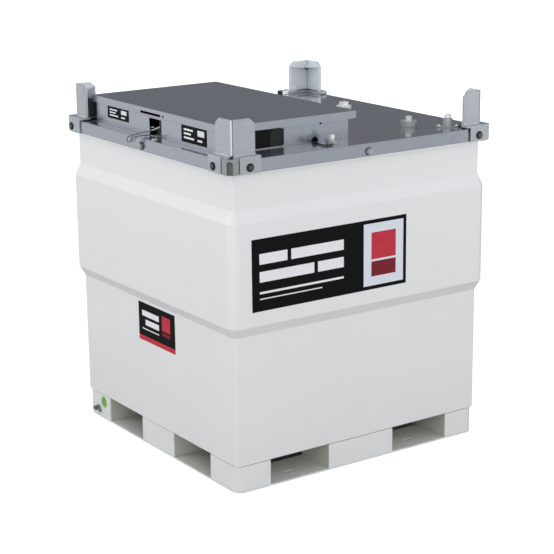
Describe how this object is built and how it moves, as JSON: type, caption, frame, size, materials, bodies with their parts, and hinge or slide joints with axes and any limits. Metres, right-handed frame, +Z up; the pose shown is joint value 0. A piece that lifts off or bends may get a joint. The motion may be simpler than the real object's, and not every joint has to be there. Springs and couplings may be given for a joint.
{
  "type": "bunded fuel tank",
  "caption": "Square bunded fuel tank on a four-way fork base, with a folded deck, corner lifting brackets with stacking posts and a low lockable cabinet.",
  "frame": {"origin": "middle of the square footprint, at the underside of the base plate, on the ground", "axes": "+Z up along the longest extent, -Y towards the side with the large sign, -X towards the side with the cabinet's lock"},
  "size_m": [1.177, 1.177, 1.348],
  "materials": {
    "white_paint": "satin white powder coat",
    "grey_paint": "glossy mid-grey powder coat",
    "galvanised_steel": "hot-dip galvanised, with spangle",
    "zinc_plated_steel": "bright zinc plate",
    "black_rubber": "matt black rubber"
  },
  "bodies": {
    "tank": {"bund_shell": "white_paint", "bund_floor": "white_paint", "bund_top_frame": "white_paint", "base_plate": "white_paint", "foot_front_left": "white_paint", "foot_front_middle": "white_paint", "foot_front_right": "white_paint", "foot_middle_left": "white_paint", "foot_middle_middle": "white_paint", "foot_middle_right": "white_paint", "foot_back_left": "white_paint", "foot_back_middle": "white_paint", "foot_back_right": "white_paint", "deck_plate": "grey_paint", "rim_front": "grey_paint", "rim_right": "grey_paint", "rim_back": "grey_paint", "rim_left": "grey_paint", "bracket_front_left": "galvanised_steel", "bracket_front_right": "galvanised_steel", "bracket_back_right": "galvanised_steel", "bracket_back_left": "galvanised_steel", "corner_shoe_front_left": "galvanised_steel", "corner_shoe_back_right": "galvanised_steel", "post_front_left": "galvanised_steel", "post_front_right": "galvanised_steel", "post_back_right": "galvanised_steel", "post_back_left": "galvanised_steel", "cabinet_wall_left": "grey_paint", "cabinet_wall_front": "grey_paint", "cabinet_wall_back": "grey_paint", "cabinet_wall_right": "grey_paint", "hinge_base_front": "grey_paint", "hinge_base_back": "grey_paint", "lock_staple": "zinc_plated_steel", "port_flap_front": "black_rubber", "port_flap_back": "black_rubber", "dip_plug": "zinc_plated_steel", "fill_plug": "zinc_plated_steel", "level_plug": "zinc_plated_steel", "vent_flange": "zinc_plated_steel", "vent_cap": "zinc_plated_steel", "rim_stud_front": "zinc_plated_steel", "rim_stud_right": "zinc_plated_steel", "rim_stud_back": "zinc_plated_steel", "rim_stud_left": "zinc_plated_steel", "earth_stud": "zinc_plated_steel", "rubber_buffer_back_left": "black_rubber", "lock_lanyard": "zinc_plated_steel", "gauge_cable": "black_rubber"},
    "lid": {"cabinet_lid": "grey_paint", "lid_latch": "zinc_plated_steel"}
  },
  "joints": [
    {"name": "lid_hinge", "type": "hinge", "parent": "tank", "child": "lid", "pos_m": [0.029, 0, 1.2965], "axis": [0, 1, 0], "range_deg": [0, 95]}
  ]
}
